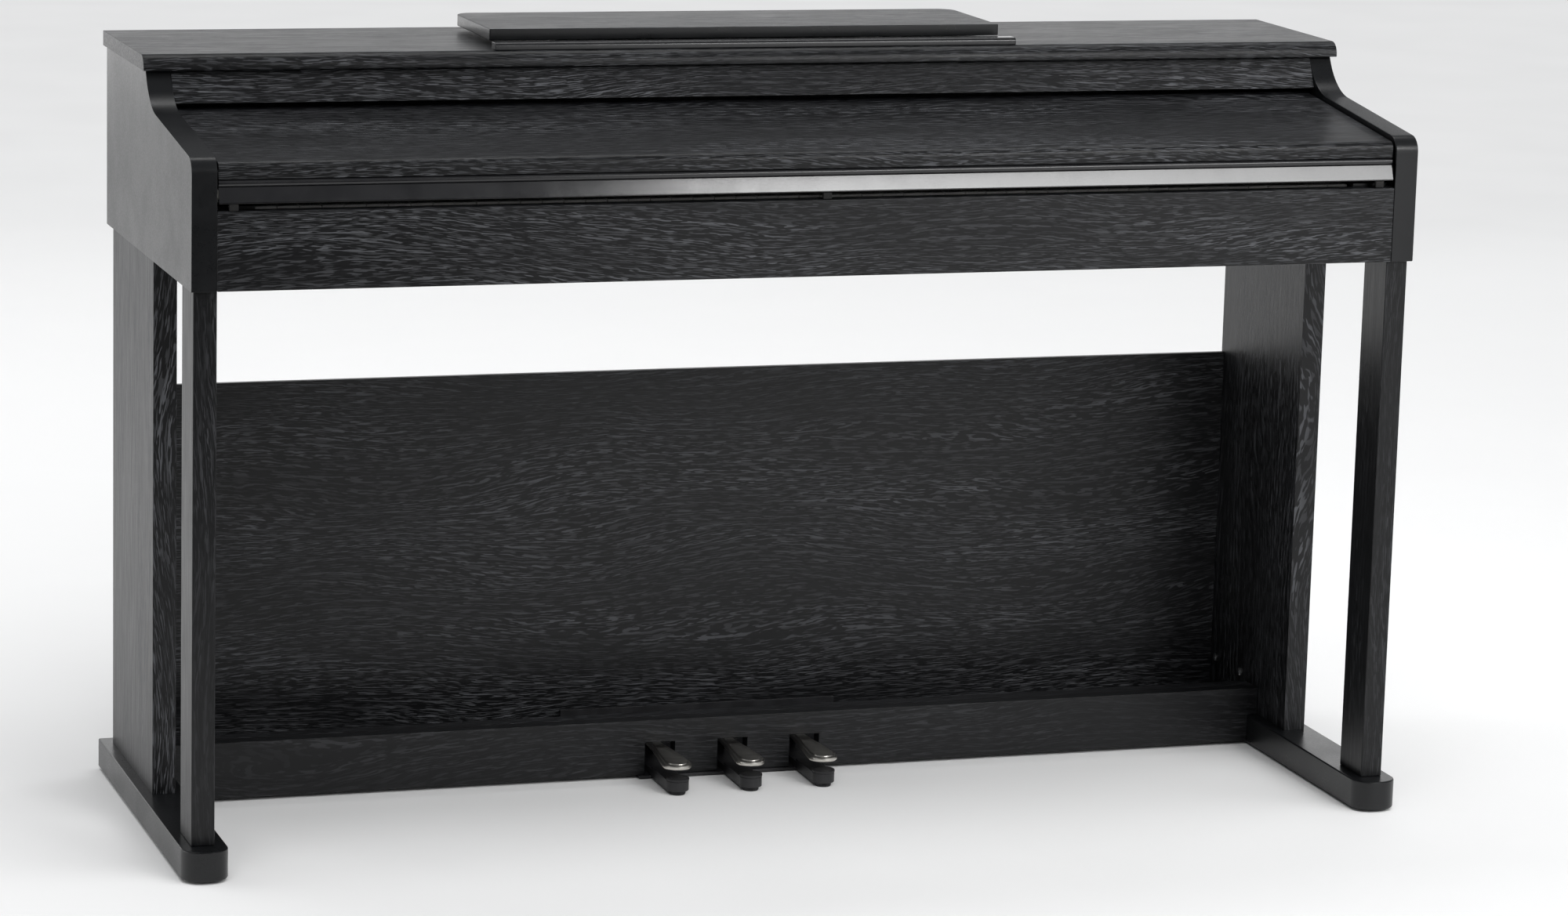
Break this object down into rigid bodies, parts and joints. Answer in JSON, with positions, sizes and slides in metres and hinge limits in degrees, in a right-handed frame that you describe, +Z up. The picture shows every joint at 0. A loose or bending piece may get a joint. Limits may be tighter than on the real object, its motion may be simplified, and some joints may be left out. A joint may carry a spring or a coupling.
{
  "type": "digital piano",
  "caption": "Digital piano on a stand with runner feet, sliding key cover closed over the keys, folded music desk and a row of foot pedals.",
  "frame": {"origin": "centre of the bounding box at floor level", "axes": "+Z up, +X along the keyboard towards the treble, +Y away from the player"},
  "size_m": [1.381, 0.492, 0.8555],
  "materials": {
    "black_wood": "open-pore black woodgrain, satin",
    "black_satin": "smooth satin black",
    "black_gloss": "glossy black strip",
    "black_plastic": "fine matte",
    "white_keytop": "polished white",
    "black_keytop": "matte black",
    "button_plastic": "silver grey",
    "polished_metal": "polished",
    "plain_steel": "zinc plated",
    "black_steel": "black powder coat",
    "rubber": "matte",
    "nylon": "natural nylon",
    "circuit_board": "green board",
    "felt": "red felt"
  },
  "bodies": {
    "cabinet": {"top_board": "black_wood", "left_cheek": "black_satin", "right_cheek": "black_satin", "fascia": "black_wood", "keyslip": "black_wood", "keybed": "black_wood", "rear_board": "black_wood", "cover_tracks": "black_plastic", "key_blocks": "black_satin", "control_panel": "black_plastic", "main_board": "circuit_board", "speaker_drivers": "plain_steel", "speaker_grilles": "black_plastic", "headphone_box": "black_plastic", "jack_plate": "black_plastic", "key_frame": "black_plastic", "key_pivot_rod": "plain_steel", "key_felts": "felt", "cover_bumpers": "rubber", "desk_hinge_bases": "polished_metal", "desk_ledge": "black_satin", "left_foot": "black_satin", "right_foot": "black_satin", "foot_glides": "rubber", "side_panels": "black_wood", "front_legs": "black_wood", "back_panel": "black_wood", "pedal_box_front": "black_wood", "pedal_box_top": "black_wood", "pedal_base": "black_steel", "pedal_arms": "black_plastic", "pedal_pins": "plain_steel", "pedal_springs": "plain_steel", "stand_screws": "plain_steel", "corner_brackets": "black_steel"},
    "cover": {"key_cover": "black_wood", "cover_rail": "black_gloss", "cover_lip": "black_gloss", "cover_guides": "nylon"},
    "desk": {"music_desk": "black_wood", "desk_hinge_leaves": "plain_steel"},
    "stay": {"desk_stay": "plain_steel"},
    "power_button": {"power_button": "button_plastic"},
    "volume_knob": {"volume_knob": "black_plastic"},
    "mode_button": {"mode_button": "button_plastic"},
    "bass_white_keys": {"bass_white_keys": "white_keytop"},
    "bass_black_keys": {"bass_black_keys": "black_keytop"},
    "treble_white_keys": {"treble_white_keys": "white_keytop"},
    "treble_black_keys": {"treble_black_keys": "black_keytop"},
    "key_c4": {"key_c4": "white_keytop"},
    "key_c4_sharp": {"key_c4_sharp": "black_keytop"},
    "key_d4": {"key_d4": "white_keytop"},
    "key_d4_sharp": {"key_d4_sharp": "black_keytop"},
    "key_e4": {"key_e4": "white_keytop"},
    "left_pedal": {"left_pedal": "polished_metal"},
    "middle_pedal": {"middle_pedal": "polished_metal"},
    "right_pedal": {"right_pedal": "polished_metal"},
    "left_adjuster": {"left_adjuster": "rubber"},
    "middle_adjuster": {"middle_adjuster": "rubber"},
    "right_adjuster": {"right_adjuster": "rubber"}
  },
  "joints": [
    {"name": "cover_slide", "type": "slide", "parent": "cabinet", "child": "cover", "axis": [0, 0.9942, 0.108], "range_m": [0, 0.208]},
    {"name": "desk_tilt", "type": "hinge", "parent": "cabinet", "child": "desk", "pos_m": [0, 0.068, 0.8402], "axis": [1, 0, 0], "range_deg": [0, 65]},
    {"name": "stay_swing", "type": "hinge", "parent": "desk", "child": "stay", "pos_m": [0, 0.143, 0.8402], "axis": [1, 0, 0], "range_deg": [-130, 0]},
    {"name": "left_pedal_press", "type": "hinge", "parent": "cabinet", "child": "left_pedal", "pos_m": [-0.081, 0.159, 0.03], "axis": [1, 0, 0], "range_deg": [0, 2.6], "stiffness_Nm_per_rad": 12, "springref_deg": -11.46},
    {"name": "middle_pedal_press", "type": "hinge", "parent": "cabinet", "child": "middle_pedal", "pos_m": [0.005, 0.159, 0.03], "axis": [1, 0, 0], "range_deg": [0, 2.6], "stiffness_Nm_per_rad": 12, "springref_deg": -11.46},
    {"name": "right_pedal_press", "type": "hinge", "parent": "cabinet", "child": "right_pedal", "pos_m": [0.091, 0.159, 0.03], "axis": [1, 0, 0], "range_deg": [0, 2.6], "stiffness_Nm_per_rad": 12, "springref_deg": -11.46},
    {"name": "left_adjuster_height", "type": "slide", "parent": "cabinet", "child": "left_adjuster", "axis": [0, 0, 1], "range_m": [0, 0.0035]},
    {"name": "middle_adjuster_height", "type": "slide", "parent": "cabinet", "child": "middle_adjuster", "axis": [0, 0, 1], "range_m": [0, 0.0035]},
    {"name": "right_adjuster_height", "type": "slide", "parent": "cabinet", "child": "right_adjuster", "axis": [0, 0, 1], "range_m": [0, 0.0035]},
    {"name": "bass_white_keys_press", "type": "hinge", "parent": "cabinet", "child": "bass_white_keys", "pos_m": [0, 0.024, 0.692], "axis": [1, 0, 0], "range_deg": [0, 2.55], "stiffness_Nm_per_rad": 34.5, "springref_deg": -11.46},
    {"name": "bass_black_keys_press", "type": "hinge", "parent": "cabinet", "child": "bass_black_keys", "pos_m": [0, 0.024, 0.692], "axis": [1, 0, 0], "range_deg": [0, 2.55], "stiffness_Nm_per_rad": 24, "springref_deg": -11.46},
    {"name": "treble_white_keys_press", "type": "hinge", "parent": "cabinet", "child": "treble_white_keys", "pos_m": [0, 0.024, 0.692], "axis": [1, 0, 0], "range_deg": [0, 2.55], "stiffness_Nm_per_rad": 39, "springref_deg": -11.46},
    {"name": "treble_black_keys_press", "type": "hinge", "parent": "cabinet", "child": "treble_black_keys", "pos_m": [0, 0.024, 0.692], "axis": [1, 0, 0], "range_deg": [0, 2.55], "stiffness_Nm_per_rad": 27, "springref_deg": -11.46},
    {"name": "key_c4_press", "type": "hinge", "parent": "cabinet", "child": "key_c4", "pos_m": [0, 0.024, 0.692], "axis": [1, 0, 0], "range_deg": [0, 2.55], "stiffness_Nm_per_rad": 1.5, "springref_deg": -11.46},
    {"name": "key_c4_sharp_press", "type": "hinge", "parent": "cabinet", "child": "key_c4_sharp", "pos_m": [0, 0.024, 0.692], "axis": [1, 0, 0], "range_deg": [0, 2.55], "stiffness_Nm_per_rad": 1.5, "springref_deg": -11.46},
    {"name": "key_d4_press", "type": "hinge", "parent": "cabinet", "child": "key_d4", "pos_m": [0, 0.024, 0.692], "axis": [1, 0, 0], "range_deg": [0, 2.55], "stiffness_Nm_per_rad": 1.5, "springref_deg": -11.46},
    {"name": "key_d4_sharp_press", "type": "hinge", "parent": "cabinet", "child": "key_d4_sharp", "pos_m": [0, 0.024, 0.692], "axis": [1, 0, 0], "range_deg": [0, 2.55], "stiffness_Nm_per_rad": 1.5, "springref_deg": -11.46},
    {"name": "key_e4_press", "type": "hinge", "parent": "cabinet", "child": "key_e4", "pos_m": [0, 0.024, 0.692], "axis": [1, 0, 0], "range_deg": [0, 2.55], "stiffness_Nm_per_rad": 1.5, "springref_deg": -11.46},
    {"name": "power_button_press", "type": "slide", "parent": "cabinet", "child": "power_button", "axis": [0, 0.225, -0.9744], "range_m": [0, 0.0015], "stiffness_N_per_m": 300, "springref_m": -0.002},
    {"name": "mode_button_press", "type": "slide", "parent": "cabinet", "child": "mode_button", "axis": [0, 0.225, -0.9744], "range_m": [0, 0.0015], "stiffness_N_per_m": 300, "springref_m": -0.002},
    {"name": "volume_turn", "type": "hinge", "parent": "cabinet", "child": "volume_knob", "pos_m": [-0.59, -0.0165, 0.7225], "axis": [0, -0.225, 0.9744], "range_deg": [-140, 140]}
  ],
  "couplings": [
    {"joint": "stay_swing", "follows": "desk_tilt", "ratio": -2}
  ]
}
